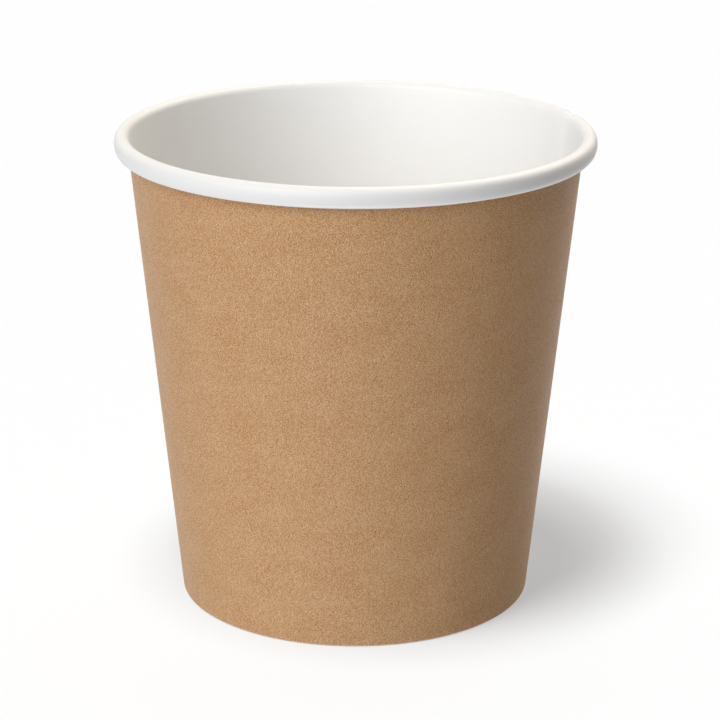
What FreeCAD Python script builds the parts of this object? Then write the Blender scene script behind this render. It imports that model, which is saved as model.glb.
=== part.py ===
import FreeCAD, Part
import math
import os

# A small single-wall paper cup for a short hot drink, in millimetres.
# It is made of two pieces of coated board: a blank that is wrapped into a cone, lapped at one side
# seam, rolled outwards at the mouth and folded inwards at the foot, and a disc with a turned-down
# skirt that the folded foot grips. The origin is the centre of the foot, on the table, with +Z up.

# Overall sizes
rim_diameter = 62.0  # across the outside of the rolled rim
base_diameter = 46.2  # across the outside of the wall, where it meets the table
cup_height = 62.0  # table to the top of the rolled rim
floor_height = 6.0  # table to the top of the bottom disc

# Board
wall_board = 0.30  # thickness of the wall's blank
disc_board = 0.30  # thickness of the bottom disc
fold_radius = 0.05  # inside radius of the two bends at the foot
skirt_radius = 0.30  # inside radius between the disc and its skirt

# Rolled rim
roll_height = 2.6
roll_hollow_radius = 0.485  # kraft face of the roll's lower turn
roll_side_angle = 20.0  # half of the angle that the bowed side turns through, degrees
roll_tail_run = 0.25  # straight start of the end that is tucked inside
roll_tail_turn = 60.0  # degrees

# Side seam
lap_width = 5.6  # measured round the wall, halfway up
ramp_width = 3.0  # length in which the blank steps out over its own first edge
seam_angle = 4.0  # place of the seam's outside edge, degrees from +X towards +Y

# How many flats a round bend is made of
ROLL_END_FLAT_COUNT = 4  # in the roll's top bend, and in its lower one
ROLL_SIDE_FLAT_COUNT = 2
ROLL_TAIL_FLAT_COUNT = 1
FOLD_FLAT_COUNT = 1
SKIRT_FLAT_COUNT = 2

# Clearances
seal_film = 0.02  # between the faces that are sealed together at the foot
roll_gap = 0.05  # between the wall and the tucked end of the roll
hem_gap = 0.4  # from the hem's top edge to the bend of the disc
skirt_gap = 0.2  # from the skirt's lower edge to the fold of the foot

AXIS_POINT = FreeCAD.Vector(0, 0, 0)
AXIS = FreeCAD.Vector(0, 0, 1)
FULL_TURN = 360.0
HALF_TURN = FULL_TURN / 2
QUARTER_TURN = FULL_TURN / 4
LEAN_REPEAT_COUNT = 8

rim_radius = rim_diameter / 2
base_radius = base_diameter / 2


def direction(angle):
    """Unit vector in the section plane, at an angle in degrees from +X (outwards) towards +Z."""
    return FreeCAD.Vector(math.cos(math.radians(angle)), 0, math.sin(math.radians(angle)))


def section_point(r, z):
    return FreeCAD.Vector(r, 0, z)


class Sheet:
    """Section of a bent sheet, followed along its middle line by straight runs and round bends.

    Its left side, looking along the line, is the sheet's one face and its right side the other.
    A round bend is made of short equal flats, whose corners lie on the true round.
    """

    def __init__(self, start, heading):
        self.stations = [(start, heading)]

    def run(self, length):
        spot, heading = self.stations[-1]
        self.stations.append((spot + direction(heading) * length, heading))

    def bend(self, radius, turn, flats):
        """A round bend of the middle line, to the left for a positive turn in degrees."""
        spot, heading = self.stations[-1]
        to_centre = math.copysign(radius, turn)
        centre = spot + direction(heading + QUARTER_TURN) * to_centre
        for flat in range(1, flats + 1):
            new_heading = heading + turn * flat / flats
            self.stations.append((centre - direction(new_heading + QUARTER_TURN) * to_centre, new_heading))

    def offset(self, left):
        """Points at a distance to the left of the middle line."""
        return [spot + direction(heading + QUARTER_TURN) * left for spot, heading in self.stations]

    def outline(self, left, right):
        """Closed outline between two distances to the left of the middle line."""
        corners = self.offset(left) + self.offset(right)[::-1]
        return Part.makePolygon(corners + corners[:1])


def turned(shape, angle):
    """A copy turned about the cup's axis, in degrees."""
    copy = shape.copy()
    copy.rotate(AXIS_POINT, AXIS, angle)
    return copy


def swept(face, start, angle):
    """A section swept round the cup's axis from a start angle, in degrees."""
    return turned(face.revolve(AXIS_POINT, AXIS, angle), start)


# Rolled rim: three bends of the middle line, turning outwards and down. The lower one is tighter,
# so that the tucked end clears the wall by the roll gap.
roll_lower_radius = roll_hollow_radius + wall_board / 2
roll_top_radius = roll_lower_radius + (wall_board + roll_gap) / (1 + math.cos(math.radians(roll_side_angle)))
roll_bends = roll_top_radius + roll_lower_radius
roll_side_radius = roll_bends / 2 + (roll_height - roll_bends - wall_board) / (
    2 * math.sin(math.radians(roll_side_angle))
)


def wall_lean():
    """Lean of the wall from upright, in degrees.

    The wall's outer face starts at the base diameter and meets the roll's top bend. How far the roll
    reaches out depends a little on the lean itself, so a few repeats settle it.
    """
    lean = 0.0
    for _ in range(LEAN_REPEAT_COUNT):
        side_turn = math.cos(math.radians(roll_side_angle - lean))
        side_reach = roll_side_radius - (roll_side_radius - roll_top_radius) * side_turn
        run = rim_radius - wall_board / 2 - side_reach - base_radius
        rise = cup_height - wall_board / 2 - roll_top_radius
        across = roll_top_radius - wall_board / 2
        lean = math.degrees(math.atan2(run, rise) - math.asin(across / math.hypot(run, rise)))
    return lean


lean = wall_lean()
lean_cos = math.cos(math.radians(lean))
lean_tan = math.tan(math.radians(lean))
up_wall = direction(QUARTER_TURN - lean)
out_of_wall = direction(-lean)


def wall_radius(z, inset):
    """Radius at a height of a line parallel to the wall, a distance inside its outer face."""
    return base_radius + z * lean_tan - inset / lean_cos


# Foot: the blank is folded in and up round the skirt, which leaves a narrow flat ring to stand on
fold_middle = fold_radius + wall_board / 2
fold_height = fold_middle + wall_board / 2
fold_outer_centre = section_point(wall_radius(fold_height, fold_height), fold_height)
fold_flat = (disc_board + 2 * seal_film - 2 * fold_radius) / lean_cos
fold_inner_centre = fold_outer_centre - section_point(fold_flat, 0)
hem_foot = fold_inner_centre - out_of_wall * fold_middle
hem_top = floor_height - disc_board - skirt_radius - hem_gap
hem_length = (hem_top - hem_foot.z) / lean_cos

# Wall: straight from the fold to the roll
wall_foot = fold_outer_centre + out_of_wall * fold_middle
roll_centre_height = cup_height - wall_board / 2 - roll_top_radius
roll_start_height = roll_centre_height - roll_top_radius * out_of_wall.z
wall_length = (roll_start_height - wall_foot.z) / lean_cos


def make_blank():
    """Section of the wall's blank, from the hem's top edge to the roll's tucked end.

    The left side is the white face and the right side the kraft face.
    """
    blank = Sheet(hem_foot + up_wall * hem_length, -QUARTER_TURN - lean)
    blank.run(hem_length)
    blank.bend(fold_middle, QUARTER_TURN + lean, FOLD_FLAT_COUNT)
    blank.run(fold_flat)
    blank.bend(fold_middle, QUARTER_TURN - lean, FOLD_FLAT_COUNT)
    blank.run(wall_length)
    blank.bend(roll_top_radius, roll_side_angle - HALF_TURN, ROLL_END_FLAT_COUNT)
    blank.bend(roll_side_radius, -2 * roll_side_angle, ROLL_SIDE_FLAT_COUNT)
    blank.bend(roll_lower_radius, roll_side_angle - HALF_TURN, ROLL_END_FLAT_COUNT)
    blank.run(roll_tail_run)
    blank.bend(roll_lower_radius, -roll_tail_turn, ROLL_TAIL_FLAT_COUNT)
    return blank


def make_sidewall():
    """The wrapped blank: one layer most of the way round, two where its edges lap."""
    blank = make_blank()
    half = wall_board / 2
    first_layer = blank.outline(half, -half)
    lapped_layer = blank.outline(-half, -half - wall_board)

    seam_radius = wall_radius(cup_height / 2, 0)
    lap_angle = math.degrees(lap_width / seam_radius)
    ramp_angle = math.degrees(ramp_width / seam_radius)

    inside_edge = seam_angle + lap_angle
    ramp_end = inside_edge + ramp_angle
    single = swept(Part.Face(first_layer), ramp_end, FULL_TURN - lap_angle - ramp_angle)
    two_layers = Part.Face(first_layer).fuse(Part.Face(lapped_layer)).removeSplitter().Faces[0]
    lap = swept(two_layers, seam_angle, lap_angle)
    ramp = Part.makeLoft([turned(lapped_layer, inside_edge), turned(first_layer, ramp_end)], True, True)

    # The doubled fold is pressed flat on the table with the rest of the foot
    box_corner = FreeCAD.Vector(-rim_radius, -rim_radius, -cup_height)
    below_table = Part.makeBox(rim_diameter, rim_diameter, cup_height, box_corner)
    return single.fuse([lap.cut(below_table), ramp.cut(below_table)]).removeSplitter()


def make_bottom_disc():
    """The disc that closes the cup, with a skirt between the wall and the hem."""
    inset = wall_board + seal_film + disc_board / 2
    bend_middle = skirt_radius + disc_board / 2
    bend_height = floor_height - disc_board / 2 - bend_middle
    bend_centre = section_point(wall_radius(bend_height, inset + bend_middle), bend_height)
    skirt_top = bend_centre + out_of_wall * bend_middle
    skirt_length = (skirt_top.z - wall_board - skirt_gap) / lean_cos

    disc = Sheet(skirt_top - up_wall * skirt_length, QUARTER_TURN - lean)
    disc.run(skirt_length)
    disc.bend(bend_middle, QUARTER_TURN + lean, SKIRT_FLAT_COUNT)
    disc.run(bend_centre.x)
    half = disc_board / 2
    return swept(Part.Face(disc.outline(half, -half)), 0, FULL_TURN)


parts = {
    "sidewall": make_sidewall(),
    "bottom_disc": make_bottom_disc(),
}

os.makedirs("parts", exist_ok=True)
for name, shape in parts.items():
    shape.exportStep(f"parts/{name}.step")
    print(f"{name}: {len(shape.Solids)} solid, valid {shape.isValid()}, {shape.Volume:.1f} mm3")
print(f"wall lean {lean:.3f} degrees")
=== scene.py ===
import math

import bpy
from mathutils import Matrix, Vector


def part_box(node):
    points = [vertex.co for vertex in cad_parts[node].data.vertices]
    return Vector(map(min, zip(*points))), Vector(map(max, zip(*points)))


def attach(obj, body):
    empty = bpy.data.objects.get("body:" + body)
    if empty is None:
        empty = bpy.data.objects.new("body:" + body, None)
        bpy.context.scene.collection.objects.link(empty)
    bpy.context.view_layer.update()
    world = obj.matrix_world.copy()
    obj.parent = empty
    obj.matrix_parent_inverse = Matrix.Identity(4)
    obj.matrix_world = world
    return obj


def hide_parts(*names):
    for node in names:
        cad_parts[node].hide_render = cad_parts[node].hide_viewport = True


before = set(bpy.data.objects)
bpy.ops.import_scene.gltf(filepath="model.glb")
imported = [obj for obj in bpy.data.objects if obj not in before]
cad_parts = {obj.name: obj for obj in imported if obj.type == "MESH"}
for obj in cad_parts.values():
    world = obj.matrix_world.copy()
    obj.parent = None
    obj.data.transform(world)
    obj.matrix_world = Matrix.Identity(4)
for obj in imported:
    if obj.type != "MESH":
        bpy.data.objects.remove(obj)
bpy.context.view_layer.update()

# The small paper cup of the frame, dressed: the same two boards, followed along the same bends, but
# with true rounds, the faces of a printed and coated board, and the ribs that the machine presses
# into the hem. Sizes are in millimetres until a mesh is made.
MM = 0.001
FULL_TURN = 360.0
HALF_TURN = FULL_TURN / 2
QUARTER_TURN = FULL_TURN / 4

# Board and foot
BASE_DIAMETER = 46.2
FLOOR_HEIGHT = 6.0
WALL_BOARD = 0.30
DISC_BOARD = 0.30
FOLD_RADIUS = 0.05
SKIRT_RADIUS = 0.30
SEAL_FILM = 0.02
HEM_GAP = 0.4
SKIRT_GAP = 0.2

# Rolled rim
ROLL_HEIGHT = 2.6
ROLL_HOLLOW_RADIUS = 0.485
ROLL_GAP = 0.05
ROLL_SIDE_ANGLE = 20.0
ROLL_TAIL_RUN = 0.25
ROLL_TAIL_TURN = 60.0

# Side seam
LAP_WIDTH = 5.6
RAMP_WIDTH = 3.0
SEAM_ANGLE = 4.0

# Steps of the mesh along each stretch of the boards, and round each board
HEM_STEPS = 8
FOLD_STEPS = 6
WALL_STEPS = 22
ROLL_TOP_STEPS = 14
ROLL_SIDE_STEPS = 6
ROLL_LOWER_STEPS = 12
ROLL_TAIL_STEPS = 4
SKIRT_STEPS = 6
SKIRT_BEND_STEPS = 8
DISC_STEPS = 24
SIDEWALL_COLUMNS = 500
DISC_COLUMNS = 300

# Repeats that settle the wall's lean
LEAN_REPEATS = 8

# Edges that turn more than this are drawn sharp, in degrees
SHARP_ANGLE = 50

# Overall sizes come from the frame, so that the rounds stay inside it
low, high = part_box("sidewall")
RIM_DIAMETER = 2 * min(high.x, high.y, -low.x, -low.y) / MM
CUP_HEIGHT = high.z / MM


def direction(angle):
    return math.cos(math.radians(angle)), math.sin(math.radians(angle))


class Line:
    """Middle line of a bent board in section, as stations of radius, height, heading and length."""

    def __init__(self, r, z, heading):
        self.stations = [(r, z, heading, 0.0)]

    def run(self, length, steps=1):
        r, z, heading, travelled = self.stations[-1]
        across, up = direction(heading)
        for step in range(1, steps + 1):
            part = length * step / steps
            self.stations.append((r + across * part, z + up * part, heading, travelled + part))

    def bend(self, radius, turn, steps):
        """A round bend, to the left for a positive turn in degrees."""
        r, z, heading, travelled = self.stations[-1]
        side = math.copysign(radius, turn)
        across, up = direction(heading + QUARTER_TURN)
        centre_r, centre_z = r + across * side, z + up * side
        arc = math.radians(abs(turn)) * radius
        for step in range(1, steps + 1):
            turned = heading + turn * step / steps
            across, up = direction(turned + QUARTER_TURN)
            spot = centre_r - across * side, centre_z - up * side
            self.stations.append((*spot, turned, travelled + arc * step / steps))

    def offset(self, number, left):
        """Radius and height of a point to the left of a station."""
        r, z, heading, _ = self.stations[number]
        across, up = direction(heading + QUARTER_TURN)
        return r + across * left, z + up * left


# Rolled rim and wall, from the same sums as the frame's
roll_lower = ROLL_HOLLOW_RADIUS + WALL_BOARD / 2
roll_top = roll_lower + (WALL_BOARD + ROLL_GAP) / (1 + math.cos(math.radians(ROLL_SIDE_ANGLE)))
roll_side = (roll_top + roll_lower) / 2 + (ROLL_HEIGHT - roll_top - roll_lower - WALL_BOARD) / (
    2 * math.sin(math.radians(ROLL_SIDE_ANGLE))
)
lean = 0.0
for _ in range(LEAN_REPEATS):
    reach = roll_side - (roll_side - roll_top) * math.cos(math.radians(ROLL_SIDE_ANGLE - lean))
    run = RIM_DIAMETER / 2 - WALL_BOARD / 2 - reach - BASE_DIAMETER / 2
    rise = CUP_HEIGHT - WALL_BOARD / 2 - roll_top
    lean = math.degrees(
        math.atan2(run, rise) - math.asin((roll_top - WALL_BOARD / 2) / math.hypot(run, rise))
    )
lean_cos = math.cos(math.radians(lean))
lean_tan = math.tan(math.radians(lean))
lean_sin = math.sin(math.radians(lean))
# The blank unrolls to part of a ring about the wall's apex, at this distance from the hem's edge
APEX = BASE_DIAMETER / 2 / lean_sin


def wall_radius(z, inset):
    """Radius of a line parallel to the wall, a distance inside its outer face."""
    return BASE_DIAMETER / 2 + z * lean_tan - inset / lean_cos


def make_blank():
    """From the hem's top edge to the roll's tucked end: white on the left, kraft on the right."""
    fold_middle = FOLD_RADIUS + WALL_BOARD / 2
    fold_height = fold_middle + WALL_BOARD / 2
    fold_flat = (DISC_BOARD + 2 * SEAL_FILM - 2 * FOLD_RADIUS) / lean_cos
    outer_centre = wall_radius(fold_height, fold_height)
    inner_centre = outer_centre - fold_flat
    hem_foot_r = inner_centre - lean_cos * fold_middle
    hem_foot_z = fold_height + lean_sin * fold_middle
    hem_top = FLOOR_HEIGHT - DISC_BOARD - SKIRT_RADIUS - HEM_GAP
    hem_length = (hem_top - hem_foot_z) / lean_cos
    wall_foot_z = fold_height - lean_sin * fold_middle
    roll_start_z = CUP_HEIGHT - WALL_BOARD / 2 - roll_top + roll_top * lean_sin

    blank = Line(hem_foot_r + lean_sin * hem_length, hem_top, -QUARTER_TURN - lean)
    blank.run(hem_length, HEM_STEPS)
    blank.bend(fold_middle, QUARTER_TURN + lean, FOLD_STEPS)
    blank.run(fold_flat)
    blank.bend(fold_middle, QUARTER_TURN - lean, FOLD_STEPS)
    blank.run((roll_start_z - wall_foot_z) / lean_cos, WALL_STEPS)
    blank.bend(roll_top, ROLL_SIDE_ANGLE - HALF_TURN, ROLL_TOP_STEPS)
    blank.bend(roll_side, -2 * ROLL_SIDE_ANGLE, ROLL_SIDE_STEPS)
    blank.bend(roll_lower, ROLL_SIDE_ANGLE - HALF_TURN, ROLL_LOWER_STEPS)
    blank.run(ROLL_TAIL_RUN)
    blank.bend(roll_lower, -ROLL_TAIL_TURN, ROLL_TAIL_STEPS)
    return blank


def make_disc_line():
    """From the skirt's lower edge to the disc's middle: bare on the left, white on the right."""
    inset = WALL_BOARD + SEAL_FILM + DISC_BOARD / 2
    bend_middle = SKIRT_RADIUS + DISC_BOARD / 2
    bend_height = FLOOR_HEIGHT - DISC_BOARD / 2 - bend_middle
    bend_r = wall_radius(bend_height, inset + bend_middle)
    top_z = bend_height - lean_sin * bend_middle
    top_r = bend_r + lean_cos * bend_middle
    length = (top_z - WALL_BOARD - SKIRT_GAP) / lean_cos
    disc = Line(top_r - lean_sin * length, top_z - lean_cos * length, QUARTER_TURN - lean)
    disc.run(length, SKIRT_STEPS)
    disc.bend(bend_middle, QUARTER_TURN + lean, SKIRT_BEND_STEPS)
    disc.run(bend_r, DISC_STEPS)
    return disc


# No two cups are quite round: slow waves, given as their number round the cup, size and phase, pull
# the boards in by a few hundredths, more towards the rim and less near the middle of the disc
WAVES = ((2, 0.012, 0.7), (3, 0.008, 2.1), (5, 0.005, 4.0))
WAVES_GROWTH = 1.5
WAVES_RADIUS = 20.0


def out_of_round(angle, z):
    """How far the boards are pulled in at a place, never outwards, growing towards the rim."""
    depth = sum(
        size * (1 + math.cos(math.radians(angle) * count + phase)) for count, size, phase in WAVES
    )
    return depth * min(1.0, max(0.0, z / CUP_HEIGHT)) ** WAVES_GROWTH


def place(r, z, angle):
    """A point on the cup, in metres."""
    held = r - out_of_round(angle, z) * min(1.0, r / WAVES_RADIUS)
    across, along = direction(angle)
    return held * across * MM, held * along * MM, z * MM


def ease(share):
    """A share from 0 to 1 with soft ends."""
    share = min(1.0, max(0.0, share))
    return share * share * (3 - 2 * share)


# Each piece's materials in order: its white face, its back and its cut edges
WHITE_SLOT, BACK_SLOT, CUT_SLOT = range(3)


def new_object(name, points, faces, slots, flat, materials):
    """A smooth piece with a face's material number and each corner's place on the flat board."""
    mesh = bpy.data.meshes.new(name)
    mesh.from_pydata(points, [], faces)
    for material in materials:
        mesh.materials.append(material)
    mesh.polygons.foreach_set("material_index", slots)
    mesh.polygons.foreach_set("use_smooth", [True] * len(faces))
    layer = mesh.uv_layers.new(name="flat_board")
    spots = [value for face in flat for spot in face for value in spot]
    layer.data.foreach_set("uv", spots)
    mesh.set_sharp_from_angle(angle=math.radians(SHARP_ANGLE))
    mesh.update()
    piece = bpy.data.objects.new(name, mesh)
    bpy.context.scene.collection.objects.link(piece)
    return piece


# Ribs pressed into the inside of the hem: columns of the mesh to a rib, and rows to fade it in
RIB_COLUMNS = 4
RIB_FADE_ROWS = 2
RIB_DEPTH = 0.09
# The two layers lie this far apart where the seam is pressed together
PRESSED = 0.006


def make_sidewall(white, kraft, core):
    blank = make_blank()
    seam_radius = wall_radius(CUP_HEIGHT / 2, 0)
    lap = math.degrees(LAP_WIDTH / seam_radius)
    ramp = math.degrees(RAMP_WIDTH / seam_radius)
    half = WALL_BOARD / 2
    rows = len(blank.stations)
    points, left, right, spots = [], [], [], []
    for column in range(SIDEWALL_COLUMNS + 1):
        travelled = (FULL_TURN + lap) * column / SIDEWALL_COLUMNS
        angle = SEAM_ANGLE + lap - travelled
        step_out = (WALL_BOARD + PRESSED) * ease((travelled - FULL_TURN + ramp) / ramp)
        first_of_lap = travelled < lap
        rib = 0.5 + 0.5 * math.cos(2 * math.pi * column / RIB_COLUMNS)
        left_column, right_column, spot_column = [], [], []
        for row in range(rows):
            inner = blank.offset(row, half - step_out)
            groove = 0.0
            if row < HEM_STEPS:
                groove = RIB_DEPTH * rib
                groove *= ease(row / RIB_FADE_ROWS) * ease((HEM_STEPS - row) / RIB_FADE_ROWS)
            outer = blank.offset(row, groove - half - step_out)
            # The doubled foot is pressed flat on the table, with its layers still apart
            inner_floor = PRESSED
            outer_floor = 2 * PRESSED if first_of_lap else 0.0
            left_column.append(len(points))
            points.append(place(inner[0], max(inner[1], inner_floor), angle))
            right_column.append(len(points))
            points.append(place(outer[0], max(outer[1], outer_floor), angle))
            from_apex = APEX + blank.stations[row][3]
            swing = math.radians(travelled - HALF_TURN) * lean_sin
            spot_column.append((from_apex * math.sin(swing), from_apex * math.cos(swing) - APEX))
        left.append(left_column)
        right.append(right_column)
        spots.append(spot_column)

    faces, slots, flat = [], [], []

    def add(face, slot, face_spots):
        faces.append(face)
        slots.append(slot)
        flat.append(face_spots)

    for c in range(SIDEWALL_COLUMNS):
        for r in range(rows - 1):
            corner = (spots[c][r], spots[c][r + 1], spots[c + 1][r + 1], spots[c + 1][r])
            inner = (left[c][r], left[c + 1][r], left[c + 1][r + 1], left[c][r + 1])
            outer = (right[c][r], right[c][r + 1], right[c + 1][r + 1], right[c + 1][r])
            add(inner, WHITE_SLOT, (corner[0], corner[3], corner[2], corner[1]))
            add(outer, BACK_SLOT, corner)
        for r, turned in ((0, False), (rows - 1, True)):
            edge = (left[c][r], left[c + 1][r], right[c + 1][r], right[c][r])
            around = (spots[c][r], spots[c + 1][r], spots[c + 1][r], spots[c][r])
            add(edge if turned else edge[::-1], CUT_SLOT, around if turned else around[::-1])
    for c, turned in ((0, False), (SIDEWALL_COLUMNS, True)):
        for r in range(rows - 1):
            edge = (left[c][r], right[c][r], right[c][r + 1], left[c][r + 1])
            around = (spots[c][r], spots[c][r], spots[c][r + 1], spots[c][r + 1])
            add(edge if turned else edge[::-1], CUT_SLOT, around if turned else around[::-1])
    return new_object("sidewall_board", points, faces, slots, flat, [white, kraft, core])


def make_disc(white, bare, core):
    line = make_disc_line()
    half = DISC_BOARD / 2
    rows = len(line.stations) - 1
    points, left, right = [], [], []
    for column in range(DISC_COLUMNS):
        angle = FULL_TURN * column / DISC_COLUMNS
        left.append([])
        right.append([])
        for row in range(rows):
            for side, offset in ((left, half), (right, -half)):
                r, z = line.offset(row, offset)
                side[-1].append(len(points))
                points.append(place(r, z, angle))
    middles = []
    for offset in (half, -half):
        middles.append(len(points))
        points.append((0.0, 0.0, line.offset(rows, offset)[1] * MM))

    def spot(number):
        return points[number][0] / MM, points[number][1] / MM

    faces, slots = [], []
    for c in range(DISC_COLUMNS):
        n = (c + 1) % DISC_COLUMNS
        for r in range(rows - 1):
            faces.append((left[c][r], left[c][r + 1], left[n][r + 1], left[n][r]))
            slots.append(BACK_SLOT)
            faces.append((right[c][r], right[n][r], right[n][r + 1], right[c][r + 1]))
            slots.append(WHITE_SLOT)
        last = rows - 1
        faces.append((left[c][last], middles[0], left[n][last]))
        slots.append(BACK_SLOT)
        faces.append((right[c][last], right[n][last], middles[1]))
        slots.append(WHITE_SLOT)
        faces.append((left[c][0], left[n][0], right[n][0], right[c][0]))
        slots.append(CUT_SLOT)
    flat = [[spot(number) for number in face] for face in faces]
    return new_object("bottom_disc_board", points, faces, slots, flat, [white, bare, core])


class Nodes:
    """A node tree that is written as a list of calls."""

    def __init__(self, owner):
        owner.use_nodes = True
        self.tree = owner.node_tree
        self.tree.nodes.clear()

    def add(self, kind, inputs=(), **settings):
        node = self.tree.nodes.new(kind)
        for name, value in settings.items():
            setattr(node, name, value)
        for name, value in dict(inputs).items():
            if isinstance(value, bpy.types.NodeSocket):
                self.tree.links.new(value, node.inputs[name])
            else:
                node.inputs[name].default_value = value
        return node

    def math(self, operation, first, second=0.0, clamp=False):
        inputs = {0: first, 1: second}
        return self.add("ShaderNodeMath", inputs, operation=operation, use_clamp=clamp).outputs[0]

    def mix(self, share, first, second):
        node = self.tree.nodes.new("ShaderNodeMix")
        node.data_type = "RGBA"
        # Input 0 is the share; inputs 6 and 7 and output 2 are the ones for colours
        for number, value in ((0, share), (6, first), (7, second)):
            socket = node.inputs[number]
            if isinstance(value, bpy.types.NodeSocket):
                self.tree.links.new(value, socket)
            else:
                socket.default_value = value
        return node.outputs[2]

    def ramp(self, value, low, high):
        """A clamped, eased change from 0 to 1 between two values."""
        inputs = {"Value": value, "From Min": low, "From Max": high}
        return self.add("ShaderNodeMapRange", inputs, interpolation_type="SMOOTHSTEP").outputs[0]

    def bump(self, height, strength, depth):
        """A surface direction from a height, with a depth in millimetres."""
        inputs = {"Height": height, "Strength": strength, "Distance": depth * MM}
        return self.add("ShaderNodeBump", inputs).outputs[0]

    def board(self):
        """Place on the flat board, in millimetres."""
        return self.add("ShaderNodeUVMap", uv_map="flat_board").outputs[0]

    def up_blank(self):
        """Distance up the wall's blank from the hem's edge, in millimetres."""
        to_apex = {0: self.board(), 1: (0.0, APEX, 0.0)}
        moved = self.add("ShaderNodeVectorMath", to_apex, operation="ADD")
        length = self.add("ShaderNodeVectorMath", {0: moved.outputs[0]}, operation="LENGTH")
        return self.math("SUBTRACT", length.outputs["Value"], APEX)

    def background_ray(self):
        """1 for rays that show a background: the camera's, mirrored ones and those through glass."""
        path = self.add("ShaderNodeLightPath").outputs
        mirrored = self.math("MAXIMUM", path["Is Camera Ray"], path["Is Glossy Ray"])
        return self.math("MAXIMUM", mirrored, path["Is Transmission Ray"])

    def noise(self, spot, size, detail=0.0, rough=0.5, turn=0.0, shift=(0.0, 0.0)):
        """Noise with features of that size in millimetres, along and across a direction."""
        along, across = size
        spin = {"Vector": spot, "Rotation": (0.0, 0.0, math.radians(turn))}
        spun = self.add("ShaderNodeMapping", spin)
        scale = (1 / along, 1 / across, 1.0)
        place_in_noise = {"Vector": spun.outputs[0], "Location": (*shift, 0.0), "Scale": scale}
        scaled = self.add("ShaderNodeMapping", place_in_noise)
        inputs = {"Vector": scaled.outputs[0], "Scale": 1.0, "Detail": detail, "Roughness": rough}
        return self.add("ShaderNodeTexNoise", inputs, noise_dimensions="2D").outputs[0]


def finished(name, build):
    material = bpy.data.materials.new(name)
    nodes = Nodes(material)
    surface = build(nodes)
    nodes.add("ShaderNodeOutputMaterial", {"Surface": surface.outputs[0]})
    return material


# Kraft face: directions of its fibres in degrees, their place in the noise, and the sizes along and
# across in millimetres of light fibres, and of dark ones, which lie at an angle to the light ones
FIBRE_TURNS = ((8, (3.1, 7.7)), (52, (21.4, 4.2)), (97, (9.3, 31.5)), (141, (17.8, 12.9)))
LIGHT_FIBRE = (0.80, 0.13)
DARK_FIBRE = (0.70, 0.14)
DARK_TURN = 20
# Levels of the noise between which a fibre fades in
FIBRE_LEVELS = (0.56, 0.78)
FIBRE_DEPTH = 0.16
KRAFT_DARK = (0.391, 0.144, 0.012, 1.0)
KRAFT_LIGHT = (0.832, 0.580, 0.364, 1.0)
# Each layer of the kraft's grain: size along and across in millimetres, detail, direction and depth
GRAIN = (
    ((0.16, 0.10), 1.0, 0, 1.85),
    ((0.34, 0.26), 1.0, 15, 0.42),
    ((0.90, 0.75), 1.0, 40, 0.17),
    ((5.5, 4.0), 3.0, 0, 0.20),
    ((9.0, 0.9), 2.0, 3, 0.09),
)
GRAIN_ROUGHNESS = 0.55
KRAFT_LEVEL = 0.50


def kraft_face(n):
    spot = n.board()
    light = dark = None
    for turn, shift in FIBRE_TURNS:
        fibre = n.noise(spot, LIGHT_FIBRE, detail=1.0, turn=turn, shift=shift)
        shade = n.noise(spot, DARK_FIBRE, detail=1.0, turn=turn + DARK_TURN, shift=shift[::-1])
        bright = n.ramp(fibre, *FIBRE_LEVELS)
        deep = n.ramp(shade, *FIBRE_LEVELS)
        light = bright if light is None else n.math("MAXIMUM", light, bright)
        dark = deep if dark is None else n.math("MAXIMUM", dark, deep)
    level = n.math("MULTIPLY", n.math("SUBTRACT", light, dark), FIBRE_DEPTH)
    for size, detail, turn, depth in GRAIN:
        layer = n.noise(spot, size, detail=detail, rough=GRAIN_ROUGHNESS, turn=turn)
        layer = n.math("SUBTRACT", layer, 0.5)
        level = n.math("ADD", level, n.math("MULTIPLY", layer, depth))
    level = n.math("ADD", level, KRAFT_LEVEL, clamp=True)
    return n.add(
        "ShaderNodeBsdfPrincipled",
        {
            "Base Color": n.mix(level, KRAFT_DARK, KRAFT_LIGHT),
            "Roughness": 0.45,
            "Specular IOR Level": 0.15,
            "Normal": n.bump(level, strength=0.5, depth=0.05),
        },
    )


# White face: faint clouds and the coating's fine peel, with sizes in millimetres. Past the roll's
# crest the
# white is painted lighter: painted light for the light the rolled rim catches
WHITE = (0.905, 0.902, 0.894, 1.0)
WHITE_DIM = (0.892, 0.889, 0.880, 1.0)
ROLL_WHITE_PAINTED_LIGHTER = (0.955, 0.955, 0.957, 1.0)
# Where that painted light starts past the roll's crest, in millimetres up the blank, and over how
# far it grows
ROLL_LIGHT_STARTS = 67.9
ROLL_LIGHT_RUN = 1.4
CLOUD_SIZE = (6.0, 4.0)
PEEL_SIZE = (0.9, 0.7)


def white_face(n):
    spot = n.board()
    clouds = n.noise(spot, CLOUD_SIZE, detail=2.0)
    flat = n.mix(clouds, WHITE, WHITE_DIM)
    # Painted light: the roll is made lighter than the rest of the white face
    roll_painted_light = n.ramp(n.up_blank(), ROLL_LIGHT_STARTS, ROLL_LIGHT_STARTS + ROLL_LIGHT_RUN)
    peel = n.noise(spot, PEEL_SIZE, detail=1.0)
    return n.add(
        "ShaderNodeBsdfPrincipled",
        {
            "Base Color": n.mix(roll_painted_light, flat, ROLL_WHITE_PAINTED_LIGHTER),
            "Roughness": 0.40,
            "Specular IOR Level": 0.45,
            "Normal": n.bump(peel, strength=0.15, depth=0.02),
        },
    )


# Uncoated underside of the disc, with its fibres' direction in degrees
BARE = (0.800, 0.770, 0.700, 1.0)
BARE_DIM = (0.740, 0.700, 0.620, 1.0)
BARE_FIBRE = (0.8, 0.2)
BARE_TURN = 30


def bare_face(n):
    fibres = n.noise(n.board(), BARE_FIBRE, detail=2.0, turn=BARE_TURN)
    return n.add(
        "ShaderNodeBsdfPrincipled",
        {
            "Base Color": n.mix(fibres, BARE, BARE_DIM),
            "Roughness": 0.85,
            "Normal": n.bump(fibres, strength=0.3, depth=0.03),
        },
    )


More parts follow.
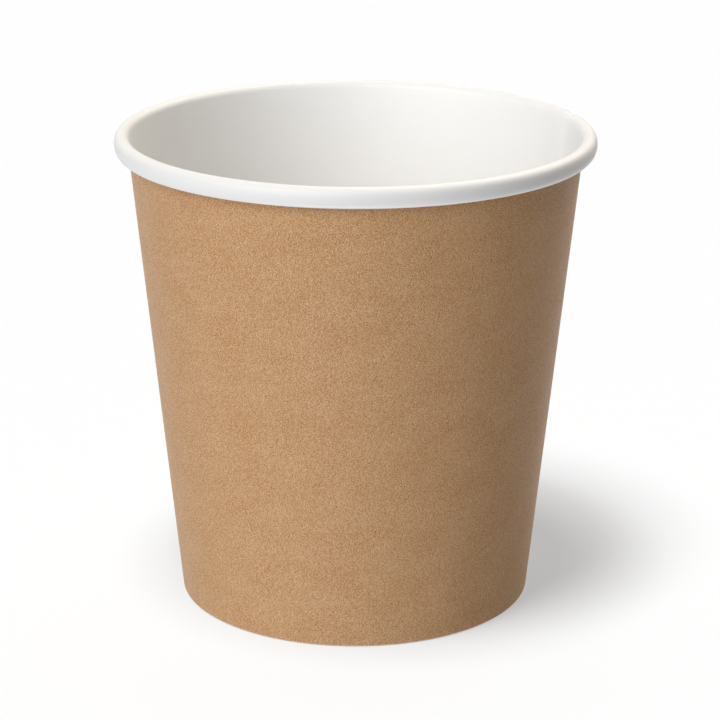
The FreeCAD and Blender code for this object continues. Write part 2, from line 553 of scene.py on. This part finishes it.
# Cut edges show the layers inside the board
CORE = (0.780, 0.720, 0.620, 1.0)
CORE_DIM = (0.700, 0.620, 0.500, 1.0)
CORE_LAYERS = (0.5, 0.1)


def cut_edge(n):
    layers = n.noise(n.board(), CORE_LAYERS, detail=1.0)
    return n.add(
        "ShaderNodeBsdfPrincipled", {"Base Color": n.mix(layers, CORE, CORE_DIM), "Roughness": 0.9}
    )


white = finished("white_coating", white_face)
kraft = finished("kraft_face", kraft_face)
bare = finished("bare_board", bare_face)
core = finished("cut_edge", cut_edge)

sidewall = make_sidewall(white, kraft, core)
disc = make_disc(white, bare, core)
for piece, node, slot in (
    (sidewall, "sidewall", "kraft_board"),
    (disc, "bottom_disc", "white_board"),
):
    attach(piece, "root")
    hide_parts(node)

# Floor, in metres. Where it shows it is white, partly by the overhead lamps, whose shadow of the cup
# it keeps, and partly by a glow. It throws hardly any light back on the cup
FLOOR_SIZE = 6.0
FLOOR_SEEN = (0.2480, 0.2480, 0.2480, 1.0)
FLOOR_GLOW = (0.434, 0.434, 0.434, 1.0)
FLOOR_BOUNCE = (0.012, 0.012, 0.012, 1.0)


def floor_face(n):
    lit = n.add("ShaderNodeBsdfDiffuse", {"Color": FLOOR_SEEN})
    glow = n.add("ShaderNodeEmission", {"Color": FLOOR_GLOW, "Strength": 1.0})
    seen = n.add("ShaderNodeAddShader", {0: lit.outputs[0], 1: glow.outputs[0]})
    bounce = n.add("ShaderNodeBsdfDiffuse", {"Color": FLOOR_BOUNCE})
    shares = {0: n.background_ray(), 1: bounce.outputs[0], 2: seen.outputs[0]}
    return n.add("ShaderNodeMixShader", shares)


half_floor = FLOOR_SIZE / 2
corners = [(x * half_floor, y * half_floor, 0) for x, y in ((-1, -1), (1, -1), (1, 1), (-1, 1))]
floor_mesh = bpy.data.meshes.new("floor")
floor_mesh.from_pydata(corners, [], [(0, 1, 2, 3)])
floor_mesh.materials.append(finished("pale_floor", floor_face))
floor = bpy.data.objects.new("floor", floor_mesh)
bpy.context.scene.collection.objects.link(floor)

# Light: two wide soft keys from the left and front, a warm one from behind on the right, and lamps
# overhead that show the cup's shadow on the floor. One from below stands in for what a white floor
# throws back. Each lamp lights only what it is meant for, and only the cup throws shadows.
ROOM_STRENGTH = 0.045
ROOM_SEEN = (0.985, 0.985, 0.985, 1.0)
PLAIN_LIGHT = (1.0, 1.0, 1.0)
WARM_LIGHT = (1.0, 0.90, 0.76)

cup = bpy.data.collections.new("cup")
cup.objects.link(sidewall)
cup.objects.link(disc)


def lamp(name, azimuth, elevation, width, strength, colour, lit_objects):
    """A far lamp: where it stands and how wide it looks from the cup, in degrees."""
    data = bpy.data.lights.new(name, "SUN")
    data.energy = strength
    data.color = colour
    data.angle = math.radians(width)
    shown = bpy.data.objects.new(name, data)
    level_out, level_along = direction(azimuth)
    level, up = direction(elevation)
    towards = Vector((level_out * level, level_along * level, up))
    shown.rotation_euler = towards.to_track_quat("Z", "Y").to_euler()
    bpy.context.scene.collection.objects.link(shown)
    group = bpy.data.collections.new(name + "_lights")
    for lit_object in lit_objects:
        group.objects.link(lit_object)
    shown.light_linking.receiver_collection = group
    shown.light_linking.blocker_collection = cup


for name, azimuth, elevation, width, strength, colour, lit_objects in (
    ("key", 233.0, 24.0, 60.0, 2.10, PLAIN_LIGHT, (sidewall, disc)),
    ("high_key", 252.0, 42.0, 60.0, 0.75, PLAIN_LIGHT, (sidewall, disc)),
    ("fill", 56.0, 50.0, 60.0, 2.05, WARM_LIGHT, (sidewall, disc)),
    ("below", 0.0, -90.0, 50.0, 2.40, PLAIN_LIGHT, (sidewall, disc)),
    ("overhead_low", 235.0, 71.0, 16.0, 3.32, PLAIN_LIGHT, (floor,)),
    ("overhead_high", 235.0, 81.0, 16.0, 3.32, PLAIN_LIGHT, (floor,)),
    ("overhead_back", 85.0, 60.0, 60.0, 0.60, PLAIN_LIGHT, (floor,)),
):
    lamp(name, azimuth, elevation, width, strength, colour, lit_objects)

world = bpy.data.worlds.new("room")
bpy.context.scene.world = world
room = Nodes(world)
lit = room.add("ShaderNodeBackground", {"Color": (1.0, 1.0, 1.0, 1.0), "Strength": ROOM_STRENGTH})
seen = room.add("ShaderNodeBackground", {"Color": ROOM_SEEN, "Strength": 1.0})
shares = {0: room.background_ray(), 1: lit.outputs[0], 2: seen.outputs[0]}
both = room.add("ShaderNodeMixShader", shares)
room.add("ShaderNodeOutputWorld", {"Surface": both.outputs[0]})

# Camera, found from the outline of the cup in the photo: angles in degrees, sizes of the sensor in
# millimetres, and its focal length in pixels of a picture that many wide
TARGET = Vector((0.63, 0.0, 30.84)) * MM
DISTANCE = 345.8 * MM
PITCH = 18.132
ROLL = 0.17
SENSOR = 36.0
FOCAL_PIXELS = 2620.6
PICTURE = 720
NEAR, FAR = 0.01, 20.0

pitch_level, pitch_down = direction(PITCH)
forward = Vector((0.0, pitch_level, -pitch_down))
flat_right = Vector((1.0, 0.0, 0.0))
flat_up = flat_right.cross(forward)
roll_level, roll_up = direction(ROLL)
right = flat_right * roll_level + flat_up * roll_up
up_axis = flat_up * roll_level - flat_right * roll_up
camera_data = bpy.data.cameras.new("camera")
camera_data.sensor_width = SENSOR
camera_data.lens = FOCAL_PIXELS * SENSOR / PICTURE
camera_data.clip_start = NEAR
camera_data.clip_end = FAR
camera = bpy.data.objects.new("camera", camera_data)
turn = Matrix((right, up_axis, -forward)).transposed().to_4x4()
camera.matrix_world = Matrix.Translation(TARGET - forward * DISTANCE) @ turn
bpy.context.scene.collection.objects.link(camera)
bpy.context.scene.camera = camera
bpy.context.scene.view_settings.view_transform = "Standard"
